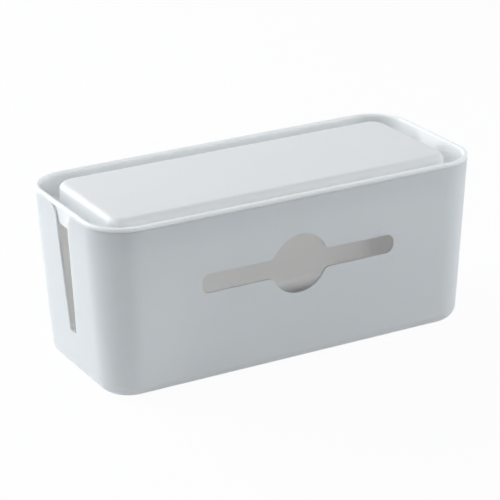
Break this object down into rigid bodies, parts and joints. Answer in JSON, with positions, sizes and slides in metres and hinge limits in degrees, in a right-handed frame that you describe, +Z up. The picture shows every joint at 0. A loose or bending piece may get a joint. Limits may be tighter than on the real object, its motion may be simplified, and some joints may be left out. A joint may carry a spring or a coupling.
{
  "type": "cable management box",
  "caption": "Long moulded box with a lift-off lid, a tapered cable slot in each end and a round-and-slotted opening in the front, for hiding a power strip and its leads.",
  "frame": {"origin": "on the surface that the box stands on, under the middle of the box", "axes": "+X along the box's length, +Y from the front face with the opening to the back, +Z up"},
  "size_m": [0.3998, 0.1768, 0.17],
  "materials": {
    "tub_plastic": "fine matte moulding texture, cool white",
    "lid_plastic": "fine matte moulding texture, cool white, the same plastic as the tub",
    "foot_rubber": "soft grey anti-slip rubber"
  },
  "bodies": {
    "tub": {"tub": "tub_plastic", "foot_front_left": "foot_rubber", "foot_front_right": "foot_rubber", "foot_back_left": "foot_rubber", "foot_back_right": "foot_rubber"},
    "lid": {"lid": "lid_plastic"}
  },
  "joints": [
    {"name": "lid_lift", "type": "slide", "parent": "tub", "child": "lid", "axis": [0, 0, 1], "range_m": [0, 0.12]}
  ]
}
